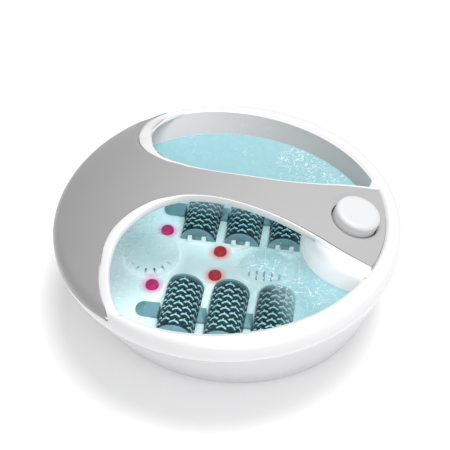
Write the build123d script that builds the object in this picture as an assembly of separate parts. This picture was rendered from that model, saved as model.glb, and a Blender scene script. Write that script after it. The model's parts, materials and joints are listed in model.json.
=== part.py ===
from build123d import *
from math import atan, cos, degrees, radians, sin, sqrt, tan
import os

# A foot spa basin: a white tub with a rolled rim on a tapered casing, a grey toe hood and arched
# bridge on a white deck frame, massage rollers in lift-out trays, slotted air caps and lamps in the
# floor, and the blower, motor, heater and controls in the dry space below and inside the pillar.
# Frame: +X towards the knob, +Y to the left of someone facing +X, +Z up, millimetres, origin under
# the middle of the outline, on the plane of the feet. The basin is the same on both sides of the plane
# Y = 0, apart from the slots in the caps, the thermal cut-out and the cord gland.

# Overall sizes
length = 400.0
width = 406.0
rim_height = 136.0
crown_height = 176.0
wall = 3.0
fit_gap = 0.3

# Rim: an oval crest inside the outline, wider at the knob end
rim_width_toe = 8.0
rim_width_knob = 19.0
rim_width_side = 16.0
crest_middle = -24.0
rim_bottom = 112.0
rim_bottom_share = 0.90
rim_profile = [(0.30, 0.0), (0.62, -1.8), (0.86, -6.0), (0.97, -11.0), (1.0, -16.0), (0.98, -21.0)]

# Skirt and casing
foot_height = 2.5
base_middle = 6.3
base_length = 320.4
base_width = 283.8
base_round = 5.0

# Tub floor
pocket_clearance = 6.4
floor_left = -160.0
floor_right = 166.0
floor_width = 304.0
floor_round = 14.0

# Hood and bridge surface
crown_x = -30.0
hood_drop = 46.0
hood_power = 2.2
bridge_drop = 30.0
bridge_reach = 95.0
bridge_flatten = 150.0
cover_skin = 2.4
frame_skin = 2.2
flange_depth = 9.0
lip_inset = 0.4
collar_depth = 9.0
hood_edge_tip = 126.0
hood_edge_toe = 110.0
tip_x = -100.0
tip_y = 174.5
hood_round = 9.0
bridge_lip = 1.8
bridge_half_waist = 20.0
bridge_half_end = 64.0

# Control pillar, round in plan and merging with the tub's end wall
pillar_x = 162.0
pillar_height = 129.7
pillar_top_radius = 72.0
pillar_bend_height = 104.0
pillar_bend_radius = 77.0
pillar_foot_radius = 78.0
pillar_wall = 3.0
cap_angle = 28.0
gasket_height = 1.2
service_end = 150.0
board_height = 98.0

# Knob
knob_x = 144.0
knob_diameter = 52.0
knob_gap = 2.0
knob_recess_depth = 7.0
knob_proud = 14.0
knob_round = 5.0
knob_skin = 3.5
shaft_diameter = 6.0
running_gap = 0.05

# Rollers and trays
roller_count = 3
roller_pitch = 54.0
roller_first_x = -44.0
roller_diameter = 44.0
roller_core_diameter = 38.0
roller_start_y = 40.0
roller_length = 76.0
roller_sink = 5.5
roller_rings = 10
roller_nubs = 16
ring_gap = 2.6
axle_diameter = 6.0
pocket_gap = 0.8
cheek_thickness = 3.0
rail_y = 85.0
rail_width = 21.0
rail_proud = 3.0
tab_length = 27.0
tray_floor = 2.5
web_depth = 8.4
clip_depth = 3.2
clip_height = 8.0

# Caps and lamps on the floor
toe_cap_x = -94.0
toe_cap_diameter = 70.0
toe_cap_height = 8.0
toe_cap_round = 5.0
toe_slots = 7
jet_dome_x = 46.0
jet_dome_length = 68.0
jet_dome_width = 52.0
jet_dome_height = 18.0
jet_slots = 5
cap_skin = 2.0
slot_width = 2.4
air_hole_diameter = 10.0
lens_diameter = 16.0
lens_height = 5.0
toe_lamp = (-83.0, 46.6)
centre_lamp = (-12.6, 20.0)

# Motor, blower and fittings
motor_x = 128.0
motor_diameter = 38.0
motor_bottom = 18.0
motor_top = 66.0
motor_shaft_diameter = 4.0
mount_height = 12.0
scroll_diameter = 52.0
scroll_height = 18.0
outlet_x = 97.0
hose_bore = 5.0
hose_wall = 1.0
nipple_z = 36.0
gland_diameter = 11.6
gland_z = 22.0
crest_round = 2.5

# Derived sizes: the floor stands high enough for the rollers' pockets to clear the casing's floor
casing_floor = foot_height + wall
pocket_depth = roller_diameter / 2 + roller_sink + 0.8 + tray_floor + fit_gap
floor_height = casing_floor + pocket_clearance + wall + pocket_depth
toe_cap_top = floor_height + toe_cap_height
knob_recess_diameter = knob_diameter + 2 * knob_gap
outline_rx = length / 2
outline_ry = width / 2
crest_left = -outline_rx + rim_width_toe
crest_right = outline_rx - rim_width_knob
crest_ry = outline_ry - rim_width_side
base_left = base_middle - base_length / 2
base_right = base_middle + base_length / 2
roller_radius = roller_diameter / 2
roller_z = floor_height - roller_sink
roller_end_y = roller_start_y + roller_length
roller_xs = [roller_first_x + i * roller_pitch for i in range(roller_count)]
pocket_half = roller_radius + pocket_gap
pocket_start_y = roller_start_y - 0.4 - cheek_thickness - 0.4
pocket_end_y = roller_end_y + 0.4 + cheek_thickness + 0.4
pocket_floor = floor_height - pocket_depth
under_floor = floor_height - wall


def oval_edge(left, middle, right, half_width, z):
    """Two half ellipses that share their ends at x = middle."""
    right_half = EllipticalCenterArc((middle, 0), right - middle, half_width, -90, arc_size=180)
    left_half = EllipticalCenterArc((middle, 0), middle - left, half_width, 90, arc_size=180)
    return Pos(0, 0, z) * Wire([right_half.edge(), left_half.edge()])


def oval(left, middle, right, half_width, z):
    return Face(oval_edge(left, middle, right, half_width, z))


def rim_oval(share, z, inset=0.0):
    """The oval a share of the way from the crest's inner edge to the outline, moved in by inset."""
    left = crest_left + share * (-outline_rx - crest_left)
    right = crest_right + share * (outline_rx - crest_right)
    middle = crest_middle * (1 - share)
    half = crest_ry + share * (outline_ry - crest_ry)
    return oval(left + inset, middle, right - inset, half - inset, z)


def floor_oval(z, grow=0.0):
    middle = (floor_left + floor_right) / 2
    return oval(floor_left - grow, middle, floor_right + grow, floor_width / 2 + grow, z)


def base_oval(z, inset=0.0):
    return oval(base_left + inset, base_middle, base_right - inset, base_width / 2 - inset, z)


def crown_z(x, y):
    """Height of the hood and bridge surface."""
    s = x - crown_x
    side = abs(y) / outline_ry
    if s <= 0:
        reach = outline_rx + crown_x
        u = sqrt((s / reach) ** 2 + side ** 2)
        return crown_height - hood_drop * u ** hood_power
    fall = bridge_drop * (sqrt(1 + (s / bridge_reach) ** 2) - 1)
    flat = 1 - 0.7 * min(s / bridge_flatten, 1)
    return crown_height - fall - hood_drop * side ** hood_power * flat


def crown_slab(top_drop, bottom_z=90.0):
    """Everything under the crown surface lowered by top_drop, down to a copy of it far below."""
    margin = 20.0
    cells = 32
    reach_x = outline_rx + margin
    reach_y = outline_ry + margin
    xs = [reach_x * (2 * i / cells - 1) for i in range(cells + 1)]
    ys = [reach_y * (2 * j / cells - 1) for j in range(cells + 1)]
    grid = [[Vector(x, y, crown_z(x, y) - top_drop) for y in ys] for x in xs]
    surface = Face.make_surface_from_array_of_points(grid, tol=0.05, min_deg=3, max_deg=3)
    return extrude(surface, amount=bottom_z, dir=(0, 0, -1))


def prism(face, z0, z1):
    return extrude(Pos(0, 0, z0 - face.center().Z) * face, amount=z1 - z0, dir=(0, 0, 1))


def mirrored(shape):
    return mirror(shape, about=Plane.XZ)


def both_sides(shape):
    return shape + mirrored(shape)


def box_between(x0, x1, y0, y1, z0, z1):
    return Pos((x0 + x1) / 2, (y0 + y1) / 2, (z0 + z1) / 2) * Box(x1 - x0, y1 - y0, z1 - z0)


def rod(x, y, z0, z1, radius):
    return Pos(x, y, (z0 + z1) / 2) * Cylinder(radius, z1 - z0)


def tube(x, y, z0, z1, radius, bore):
    return rod(x, y, z0, z1, radius) - rod(x, y, z0 - 1, z1 + 1, bore)


def rod_along_y(x, z, y0, y1, radius):
    return Pos(x, (y0 + y1) / 2, z) * Rot(90, 0, 0) * Cylinder(radius, y1 - y0)


def save(name, *solids):
    """Writes one node; a node of several identical pieces is a group of separate solids."""
    shape = solids[0] if len(solids) == 1 else Compound(children=list(solids))
    export_step(shape, f"parts/{name}.step")


def both_in(points):
    """Each (x, y) point and its mirror image across Y = 0."""
    return [(x, side * y) for x, y in points for side in (-1, 1)]


# Positions of the screws and feet
case_screws = both_in([(-100.0, 94.0), (108.0, 95.0)])
foot_points = both_in([(-70.0, 98.0), (83.0, 98.0)])
cover_screw_points = [(-150.0, -60.0), (-150.0, 60.0), (-20.0, 0.0), (105.5, 0.0)]
board_screw_points = both_in([(104.0, 30.0), (152.0, 30.0)])


# The edges of a foot opening in plan, from the tip on the rim round the toe side and along the bridge

def cover_edge_points():
    waist = bridge_half_waist
    toe_side = [(tip_x, tip_y), (-113, 150), (-121.5, 124), (-123, 97), (-116, 71), (-100, 50)]
    bridge_side = [(-75, 32.5), (-45, waist + 2.8), (-15, waist), (20, waist + 2), (60, waist + 8.3)]
    flare = [(95, 38.5), (135, 53.3), (crest_right + 12, bridge_half_end + 6)]
    return toe_side + bridge_side + flare


def lip_edge_points():
    """The white lip's edge: it leaves the rim in a round corner, is widest at the toes and narrows."""
    waist = bridge_half_waist + bridge_lip
    corner = [(-66, 181), (-83, 175.5), (-95, 167), (-102, 154)]
    toe_side = [(-107.5, 139), (-111.5, 119), (-111, 98), (-104, 74), (-88, 52)]
    bridge_side = [(-66, 34.5), (-42, waist + 3), (-15, waist), (20, waist + 2), (60, waist + 8.6)]
    flare = [(95, 41), (135, 56.5), (crest_right + 12, bridge_half_end + 9.5)]
    return corner + toe_side + bridge_side + flare


def grown(points, amount):
    """The outline moved sideways, away from the foot opening when amount is positive."""
    moved = []
    for i, (x, y) in enumerate(points):
        x0, y0 = points[max(i - 1, 0)]
        x1, y1 = points[min(i + 1, len(points) - 1)]
        run = sqrt((x1 - x0) ** 2 + (y1 - y0) ** 2)
        moved.append((x + (y1 - y0) / run * amount, y - (x1 - x0) / run * amount))
    return moved


def foot_space(points, z0=60.0, z1=240.0):
    """The space over both foot openings, from the given edge outwards past the basin."""
    far = 320.0
    edge = Spline(*[(x, y, 0) for x, y in points])
    first = edge @ 0
    last = edge @ 1
    corners = [(far, last.Y, 0), (far, far, 0), (first.X, far, 0)]
    rest = Polyline((last.X, last.Y, 0), *corners, (first.X, first.Y, 0))
    return both_sides(prism(Face(Wire([edge.edge(), *rest.edges()])), z0, z1))


def toe_wedge(points):
    """A solid across the whole width from a side outline of (x, z) points."""
    side = Polyline(*[(x, 0, z) for x, z in points], close=True)
    return extrude(Face(Wire(side.edges())), amount=260, dir=(0, 1, 0), both=True)


def hood_edge_z(x):
    slope = (hood_edge_tip - hood_edge_toe) / (tip_x + outline_rx)
    return hood_edge_toe + slope * (x + outline_rx)


def below_hood_edge():
    x0 = -260.0
    x1 = -40.0
    return toe_wedge([(x0, hood_edge_z(x0)), (x1, hood_edge_z(x1)), (x1, 40), (x0, 40)])


def above_hood_edge():
    x0 = -260.0
    x1 = tip_x + 3
    z0 = hood_edge_z(x0) - fit_gap
    z1 = hood_edge_z(x1) - fit_gap
    return toe_wedge([(x0, z0), (x1, z1), (x1, 240), (x0, 240)])


def dome(depth):
    """The hood's outer form, lowered and moved in by depth, with its rounded shoulder."""
    body = crown_slab(depth) & prism(rim_oval(1.0, 0, depth), 60, 240)
    shoulder = [e for e in body.edges() if is_shoulder(e, depth)]
    return fillet(shoulder, hood_round - depth)


def is_shoulder(edge, depth):
    p = edge @ 0.5
    spread = (p.X / (outline_rx - depth)) ** 2 + (p.Y / (outline_ry - depth)) ** 2
    return abs(spread - 1) < 0.02 and p.Z > 115 and edge.length > 200


def inside_crest(inset):
    """The space inside the tub's wall and straight above it, moved in by inset."""
    top = rim_height + 6
    space = loft([floor_oval(floor_height, -inset), rim_oval(0.0, top, inset)], ruled=True)
    return space + prism(rim_oval(0.0, 0, inset), top, 240)


def past_knob_end(inset):
    """What is cut from the bridge's end so that it drops inside the tub's wall."""
    return box_between(100, 260, -150, 150, 60, 200) - inside_crest(inset)


# The tub: rolled rim, basin wall, floor with roller pockets, and the hollow pillar

def pillar_body(grow=0.0, z0=floor_height - 2, z1=pillar_height):
    """The pillar's round body, moved out by grow, between two heights."""
    sections = [(z0, pillar_foot_radius), (pillar_bend_height, pillar_bend_radius), (z1, pillar_top_radius)]
    circles = [Pos(pillar_x, 0, z) * Circle(radius + grow) for z, radius in sections]
    return loft(circles, ruled=True)


def rim_shell():
    faces = [rim_oval(share, rim_height + dz) for share, dz in rim_profile]
    outer = loft(list(reversed(faces + [rim_oval(rim_bottom_share, rim_bottom)])))
    under = [rim_oval(share, rim_height + dz - wall, wall) for share, dz in rim_profile[1:]]
    under.insert(0, rim_oval(rim_profile[0][0], rim_height - wall, wall * 0.4))
    hollow = loft(list(reversed(under + [rim_oval(rim_bottom_share, rim_bottom - wall - 2, wall)])))
    return outer - hollow


def bowl(grow, z0, z1):
    body = loft([floor_oval(z0, grow), rim_oval(0.0, z1, -grow)], ruled=True)
    bottom = [e for e in body.edges() if abs((e @ 0.5).Z - z0) < 0.1 and e.length > 100]
    return fillet(bottom, floor_round)


def web_slot(grow, z0, z1):
    """The lobe of the first pocket that takes the finger tab's web."""
    x0 = roller_xs[0] - pocket_half - web_depth - grow
    half = rail_width / 2 + 0.5 + grow
    return box_between(x0, roller_xs[0], -rail_y - half, -rail_y + half, z0, z1)


def pocket_block():
    """The box under the floor that the -Y side's three pockets are cut from."""
    x0 = roller_xs[0] - pocket_half - wall
    x1 = roller_xs[-1] + pocket_half + wall
    z0 = pocket_floor - wall
    block = box_between(x0, x1, -pocket_end_y - wall, -pocket_start_y + wall, z0, floor_height - 1)
    far = [e for e in block.edges().filter_by(Axis.Z) if (e @ 0.5).Y < -pocket_end_y]
    return fillet(far, 8.0) + web_slot(wall, z0, floor_height - 1)


def pockets():
    """What is cut from the floor on the -Y side: roller pockets joined by the slot of the tray's rail."""
    top = floor_height + 5
    half = rail_width / 2 + 0.5
    cut = box_between(roller_xs[0], roller_xs[-1], -rail_y - half, -rail_y + half, pocket_floor, top)
    cut += web_slot(0.0, pocket_floor, top)
    for x in roller_xs:
        cut += box_between(x - pocket_half, x + pocket_half, -pocket_end_y, -pocket_start_y, pocket_floor, top)
    return cut


def tray_clips():
    """U-shaped clips on the floor that the tray's lugs drop into, one at each roller."""
    y0 = -pocket_start_y + 0.8
    y1 = y0 + clip_depth
    top = floor_height + clip_height
    clips = []
    for x in roller_xs:
        plate = box_between(x - 11, x + 11, y0, y1, floor_height - 1, top)
        clips.append(plate - box_between(x - 6, x + 6, y0 - 1, y1 + 1, floor_height + 3, top + 1))
    return clips


def board_arms(basin):
    """Four arms inside the pillar that carry the control board."""
    space = pillar_body(-0.5) & basin
    arms = []
    for x, y in board_screw_points:
        side = 1 if y > 0 else -1
        arm = box_between(x - 6, x + 6, 24, 80, board_height - 5, board_height)
        arms.append((arm if side > 0 else mirrored(arm)) & space)
    return arms


def hood_seat():
    """The room cut from the rim for the hood and its frame, a small gap away from them."""
    depth = cover_skin + frame_skin + 2 * fit_gap
    return above_hood_edge() - foot_space(grown(cover_edge_points(), -fit_gap)) - dome(depth)


def build_tub():
    cavity = bowl(0.0, floor_height, rim_height + 6)
    basin = loft([floor_oval(under_floor, wall), rim_oval(0.0, rim_height - wall, -wall)], ruled=True)
    bottom = [e for e in basin.edges() if abs((e @ 0.5).Z - under_floor) < 0.1 and e.length > 100]
    basin = fillet(bottom, floor_round)
    shell = rim_shell() + basin - cavity
    flat = [e for e in shell.edges() if all(abs((e @ t).Z - rim_height) < 0.1 for t in (0.25, 0.5, 0.75))]
    shell = fillet(sorted(flat, key=lambda e: e.length)[:2], crest_round)
    tub = shell + (pillar_body() & basin)
    tub -= pillar_body(-pillar_wall, floor_height - 10, pillar_height + 1) & cavity
    well = rod(pillar_x, 0, 30, floor_height + 20, pillar_foot_radius - pillar_wall)
    tub -= well & box_between(0, service_end, -90, 90, 30, floor_height + 10)
    for arm in board_arms(basin):
        tub += arm
    for x, y in board_screw_points:
        tub -= rod(x, y, board_height - 10, board_height + 1, 1.3)
    for x, y in case_screws:
        tub += rod(x, y, casing_floor + 3, under_floor + 1, 5)
        tub -= rod(x, y, casing_floor - 1, casing_floor + 19, 1.8)
    tub = tub + both_sides(pocket_block()) - both_sides(pockets())
    for clip in tray_clips():
        tub += both_sides(clip)
    for x in (toe_cap_x, jet_dome_x):
        tub -= rod(x, 0, 30, 60, air_hole_diameter / 2)
    for x, y in both_in([toe_lamp, centre_lamp]):
        tub -= rod(x, y, 30, 60, lens_diameter / 2)
    return tub - hood_seat()


# The lower casing, skirt and bottom in one, with its feet, screws and cord gland

def casing_body(inset, z0, z1):
    low = oval(base_left + inset, base_middle, base_right - inset, base_width / 2 - inset, z0)
    return loft([low, rim_oval(rim_bottom_share, z1, inset)], ruled=True)


def gland_place():
    """A frame on the back skirt with its Z axis square to the skirt's face."""
    rise = rim_bottom - fit_gap - foot_height
    spread = crest_ry + rim_bottom_share * rim_width_side - base_width / 2
    y = base_width / 2 + spread * (gland_z - foot_height) / rise
    return Pos(base_middle, y, gland_z) * Rot(-90 - degrees(atan(spread / rise)), 0, 0)


def build_casing():
    top = rim_bottom - fit_gap
    body = casing_body(0, foot_height, top)
    bottom = [e for e in body.edges() if abs((e @ 0.5).Z - foot_height) < 0.1 and e.length > 100]
    inside = casing_body(wall, foot_height, top) - box_between(-220, 220, -220, 220, 0, casing_floor)
    casing = fillet(bottom, base_round) - inside
    for x, y in case_screws:
        casing += rod(x, y, casing_floor - 1, casing_floor + 3, 8)
        casing -= rod(x, y, 0, casing_floor, 4)
        casing -= rod(x, y, 0, casing_floor + 4, 2)
    for x, y in foot_points:
        casing -= rod(x, y, 0, casing_floor + 1, 4)
    casing += tube(motor_x, 0, casing_floor - 1, mount_height, 23, 18)
    casing -= gland_place() * Cylinder(gland_diameter / 2 + 0.2, 30)
    return casing - above_hood_edge()


def build_gland():
    radius = gland_diameter / 2
    gland = Pos(0, 0, 1.6) * Cylinder(radius + 3, 2.0)
    gland += Pos(0, 0, -wall / 2) * Cylinder(radius, wall + 4)
    gland += Pos(0, 0, -wall - 1.6) * Cylinder(radius + 1.5, 2.0)
    gland += Pos(0, 0, 7) * Cylinder(radius - 1.3, 12)
    return gland_place() * (gland - Cylinder(3.0, 60))


def build_foot(x, y):
    pad = rod(x, y, 0, foot_height, 11)
    pad = chamfer(pad.edges().group_by(Axis.Z)[0], 0.8)
    return pad + rod(x, y, 1, casing_floor + 1, 3.8) + rod(x, y, casing_floor + 0.1, casing_floor + 2.5, 5.2)


def build_case_screw(x, y):
    screw = rod(x, y, casing_floor - 2.3, casing_floor, 3.6) + rod(x, y, casing_floor - 1, casing_floor + 17, 1.7)
    return screw - rod(x, y, casing_floor - 3, casing_floor - 1, 1.6)


# The white deck frame, the grey cover over it, and what holds them

def knob_place():
    """A frame on the crown surface under the knob, leaning with the surface."""
    s = knob_x - crown_x
    slope = bridge_drop * s / bridge_reach**2 / sqrt(1 + (s / bridge_reach) ** 2)
    return Pos(knob_x, 0, crown_z(knob_x, 0)) * Rot(0, degrees(atan(slope)), 0)


def knob_disc(z0, z1, radius, bore=None):
    disc = Pos(0, 0, (z0 + z1) / 2) * Cylinder(radius, z1 - z0)
    if bore is not None:
        disc -= Pos(0, 0, (z0 + z1) / 2) * Cylinder(bore, z1 - z0 + 2)
    return knob_place() * disc


def cap_body(grow=0.0, rise=34.0):
    """The sloping cap that joins the pillar's top to the bridge above it."""
    z0 = pillar_height + gasket_height
    shrink = rise * tan(radians(cap_angle))
    base = Pos(pillar_x, 0, z0) * Circle(pillar_top_radius + grow)
    return loft([base, Pos(pillar_x, 0, z0 + rise) * Circle(pillar_top_radius + grow - shrink)], ruled=True)


def build_frame():
    depth = cover_skin + fit_gap
    openings = foot_space(cover_edge_points())
    lip_space = foot_space(lip_edge_points())
    lip_land = inside_crest(fit_gap) - lip_space
    outside = dome(depth)
    frame = outside - (openings - lip_land)
    frame += crown_slab(lip_inset) & foot_space(grown(cover_edge_points(), -fit_gap)) & lip_land
    flange_core = dome(depth + frame_skin) - foot_space(grown(lip_edge_points(), frame_skin))
    frame -= flange_core
    below = crown_slab(lip_inset + flange_depth, 160) & prism(rim_oval(1.0, 0, depth + frame_skin), 30, 240)
    frame -= below
    frame -= below_hood_edge()
    cap = cap_body() & outside & inside_crest(fit_gap)
    cap -= cap_body(-frame_skin) & dome(depth + frame_skin)
    frame += cap
    frame += knob_disc(-knob_recess_depth - 2, 0, knob_recess_diameter / 2 + 2) & outside
    for x, y in cover_screw_points:
        top = crown_z(x, y)
        frame += rod(x, y, top - collar_depth, top, 7) & outside
        frame -= rod(x, y, top - 30, top + 1, 3.8)
    frame -= knob_disc(-knob_recess_depth + 0.5, 20, knob_recess_diameter / 2)
    frame -= knob_disc(-20, 20, 5)
    return frame - past_knob_end(fit_gap)


def build_cover():
    cover = dome(0.0) - dome(cover_skin) - foot_space(cover_edge_points()) - below_hood_edge()
    cover -= past_knob_end(fit_gap)
    cover -= knob_disc(-20, 20, knob_recess_diameter / 2)
    for x, y in cover_screw_points:
        top = crown_z(x, y)
        cover += rod(x, y, top - collar_depth, top - cover_skin + 1, 3.5)
        cover -= rod(x, y, top - collar_depth - 1, top - 3.2, 1.6)
    return cover


def build_cover_screw(x, y):
    top = crown_z(x, y) - collar_depth
    return rod(x, y, top - 2.2, top, 5.5) + rod(x, y, top - 1, top + 5, 1.5) - rod(x, y, top - 3, top - 1, 1.5)


def build_gasket():
    z1 = pillar_height + gasket_height
    ring = tube(pillar_x, 0, pillar_height, z1, pillar_top_radius - 0.4, pillar_top_radius - 2.0)
    return ring & inside_crest(fit_gap)


# The knob and its switch, all on the leaning knob axis

def build_knob():
    radius = knob_diameter / 2
    hollow = knob_proud - knob_skin
    disc = Pos(0, 0, (knob_proud - 4.7) / 2) * Cylinder(radius, knob_proud + 4.7)
    top = disc.edges().group_by(Axis.Z)[-1]
    disc = fillet(top, knob_round) - Pos(0, 0, knob_proud + 398.9) * Sphere(400)
    disc -= Pos(0, 0, (hollow - 4.7) / 2) * Cylinder(radius - knob_skin, hollow + 4.7)
    disc += Pos(0, 0, (hollow - 2.9) / 2) * Cylinder(6.5, hollow + 3.9)
    bore = Pos(0, 0, -0.5) * Cylinder(shaft_diameter / 2 + 0.02, 7)
    return knob_place() * (disc - bore)


def build_switch():
    floor = -knob_recess_depth - 2
    switch = Pos(0, 0, floor - 7) * Box(30, 30, 14) + Pos(0, 0, (floor - 3.6) / 2) * Cylinder(4.75, -3.6 - floor)
    bore = Pos(0, 0, -9.8) * Cylinder(shaft_diameter / 2 + running_gap, 12.8)
    for y in (-9, 0, 9):
        switch += Pos(0, y, floor - 16) * Box(1, 4, 5)
    return knob_place() * (switch - bore)


# The control board and its components

def build_board():
    board = box_between(100, 156, -35, 35, board_height, board_height + 1.6)
    for x, y in board_screw_points:
        board -= rod(x, y, board_height - 1, board_height + 3, 1.5)
    top = board_height + 1.6
    board += box_between(112, 126, -24, -8, top, top + 9)
    board += box_between(132, 144, -22, -12, top, top + 5)
    board += rod(118, 14, top, top + 12, 5)
    return board + rod(134, 12, top, top + 8, 4)


def build_board_screw(x, y):
    top = board_height + 1.6
    return rod(x, y, top, top + 1.8, 2.5) + rod(x, y, board_height - 4.5, top + 1, 1.2)


# Rollers, their pins and the lift-out trays, modelled on the -Y side

def nub_ring(y0, y1, turn):
    """One ring of nubs round a roller."""
    step = 360 / roller_nubs
    points = []
    for i in range(roller_nubs):
        middle = turn + i * step
        for offset, radius in ((-8, 18.8), (-4, roller_radius), (4, roller_radius), (8, 18.8)):
            a = radians(middle + offset)
            points.append((radius * cos(a), 0, radius * sin(a)))
    face = Face(Wire(Polyline(*points, close=True).edges()))
    return Pos(0, y0, 0) * extrude(face, amount=y1 - y0, dir=(0, 1, 0))


def build_roller(x):
    pitch = (roller_length - 1) / roller_rings
    roller = rod_along_y(0, 0, 0, roller_length, roller_core_diameter / 2)
    for i in range(roller_rings):
        y0 = 1 + i * pitch
        roller += nub_ring(y0, y0 + pitch - ring_gap, 0 if i % 2 else 180 / roller_nubs)
    roller -= rod_along_y(0, 0, -1, roller_length + 1, axle_diameter / 2 + running_gap)
    return Pos(x, -roller_end_y, roller_z) * roller


def build_axle(x):
    y0 = -pocket_end_y + 0.8
    return rod_along_y(x, roller_z, y0, -pocket_start_y - 0.8, axle_diameter / 2)


def cheek(x, y0, y1):
    radius = roller_radius - 0.5
    plate = box_between(x - radius, x + radius, y0, y1, pocket_floor + 1, roller_z)
    plate += rod_along_y(x, roller_z, y0, y1, radius)
    return plate - rod_along_y(x, roller_z, y0 - 1, y1 + 1, axle_diameter / 2 + running_gap)


def build_tray():
    z0 = pocket_floor + fit_gap
    z1 = z0 + tray_floor
    near = -pocket_start_y - 0.4
    far = -pocket_end_y + 0.4
    half = pocket_half - 0.5
    rail_y0 = -rail_y - rail_width / 2
    rail_y1 = -rail_y + rail_width / 2
    web_x = roller_xs[0] - pocket_half - web_depth + 0.4
    rail_top = floor_height + rail_proud
    tray = box_between(web_x, roller_xs[-1] + half, rail_y0, rail_y1, z0, z1)
    for x in roller_xs:
        tray += box_between(x - half, x + half, far, near, z0, z1)
        tray += cheek(x, far, far + cheek_thickness)
        tray += cheek(x, near - cheek_thickness, near)
        tray += box_between(x - 5.4, x + 5.4, near - 1, near + 3.4, floor_height + 3.5, floor_height + 7.5)
    for x in roller_xs[:-1]:
        middle = x + roller_pitch / 2
        tray += box_between(middle - 4, middle + 4, rail_y0, rail_y1, z0, rail_top)
    tray += box_between(web_x, web_x + web_depth - 0.9, rail_y0, rail_y1, z0, rail_top)
    tab_end = web_x + web_depth - 0.9 - tab_length + rail_width / 2
    tab = box_between(tab_end, web_x + 1, rail_y0, rail_y1, floor_height + 0.3, rail_top)
    tab += rod(tab_end, -rail_y, floor_height + 0.3, rail_top, rail_width / 2)
    return tray + tab


# Air caps, lamps and what sits under the floor

def build_toe_cap():
    radius = toe_cap_diameter / 2
    outer = rod(0, 0, floor_height, toe_cap_top, radius)
    outer = fillet(outer.edges().group_by(Axis.Z)[-1], toe_cap_round)
    inner = rod(0, 0, floor_height - 1, toe_cap_top - cap_skin, radius - cap_skin)
    inner = fillet(inner.edges().group_by(Axis.Z)[-1], toe_cap_round - cap_skin)
    cap = outer - inner
    for i in range(toe_slots):
        slot = Pos(radius - 3, 0, floor_height + 6.5) * Box(12, slot_width, 9)
        cap -= Rot(0, 0, -150 + i * 120 / (toe_slots - 1)) * slot
    return Pos(toe_cap_x, 0, 0) * cap


def half_dome(length_x, length_y, height):
    ball = scale(Sphere(1), by=(length_x / 2, length_y / 2, height))
    return Pos(0, 0, floor_height) * (ball & Pos(0, 0, height) * Box(200, 200, 2 * height))


def build_jet_dome():
    shell = half_dome(jet_dome_length, jet_dome_width, jet_dome_height)
    shell -= half_dome(jet_dome_length - 2 * cap_skin, jet_dome_width - 2 * cap_skin, jet_dome_height - cap_skin)
    pitch = 9.0
    for side in (-1, 1):
        for i in range(jet_slots):
            x = (i - (jet_slots - 1) / 2) * pitch
            slot = Pos(x, side * jet_dome_width * 0.42, floor_height + 9) * Box(slot_width, 14, 10)
            shell -= slot
    return Pos(jet_dome_x, 0, 0) * shell


def build_lens(x, y):
    radius = lens_diameter / 2 - 0.2
    top = floor_height + lens_height
    body = rod(x, y, under_floor - 1.5, top, radius)
    body = fillet(body.edges().group_by(Axis.Z)[-1], 3.5)
    body += rod(x, y, under_floor - 1.5, under_floor, radius + 2.2)
    body += tube(x, y, under_floor - 5.4, under_floor - 1.5, radius + 2.2, radius + 1.0)
    return body - rod(x, y, under_floor - 3, top - 4, radius - 2)


def build_lamp_board(x, y):
    return rod(x, y, under_floor - 7, under_floor - 5.4, lens_diameter / 2 + 2)


def build_led(x, y):
    led = rod(x, y, under_floor - 5.4, under_floor, 2.5)
    return fillet(led.edges().group_by(Axis.Z)[-1], 2.0)


def build_manifold():
    x0 = toe_cap_x - 10
    x1 = jet_dome_x + 20
    box = box_between(x0, x1, -9, 9, under_floor - 12, under_floor)
    box -= box_between(x0 + 2, x1 - 2, -7, 7, under_floor - 10, under_floor + 1)
    nipple = Pos(x1 + 4, 0, nipple_z) * Rot(0, 90, 0) * Cylinder(hose_bore / 2 - 0.05, 12)
    bore = Pos(x1 + 3, 0, nipple_z) * Rot(0, 90, 0) * Cylinder(1.5, 18)
    return box + nipple - bore


def build_hose():
    end_x = jet_dome_x + 21
    start = (outlet_x, 0, motor_top - 1)
    path = FilletPolyline(start, (outlet_x, 0, nipple_z), (end_x, 0, nipple_z), radius=12)
    section = Plane(origin=start, z_dir=(0, 0, -1)) * Circle(hose_bore / 2 + hose_wall)
    bore = Plane(origin=start, z_dir=(0, 0, -1)) * Circle(hose_bore / 2)
    return sweep(section, path=path) - sweep(bore, path=path)


def build_heater():
    return box_between(-126, -98, -62, -13, under_floor - 1.5, under_floor)


def build_cutout():
    z1 = under_floor - 1.5
    return rod(-112, -38, z1 - 5, z1, 8) + rod(-112, -38, z1 - 8, z1 - 4, 4)


# The motor with its eccentric weight below and the blower above

def build_mount():
    return tube(motor_x, 0, mount_height, motor_bottom, 23, 15)


def build_can():
    can = rod(motor_x, 0, motor_bottom, motor_top, motor_diameter / 2)
    can = fillet(can.edges().group_by(Axis.Z)[-1], 1.5)
    return can - rod(motor_x, 0, 0, 90, motor_shaft_diameter / 2 + running_gap)


def build_weight():
    half = rod(motor_x, 0, casing_floor + 1, mount_height - 0.5, 14) & box_between(motor_x, 160, -20, 20, 0, 40)
    half += rod(motor_x, 0, casing_floor + 1, mount_height - 0.5, 5)
    return half - rod(motor_x, 0, 0, 40, motor_shaft_diameter / 2 + 0.02)


def scroll_plan(grow, z0, z1):
    """The blower's plan: a round drum with an outlet ear towards the toes."""
    drum = rod(motor_x, 0, z0, z1, scroll_diameter / 2 + grow)
    return drum + box_between(outlet_x - 5 - grow, motor_x - 15, -7 - grow, 7 + grow, z0, z1)


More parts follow.
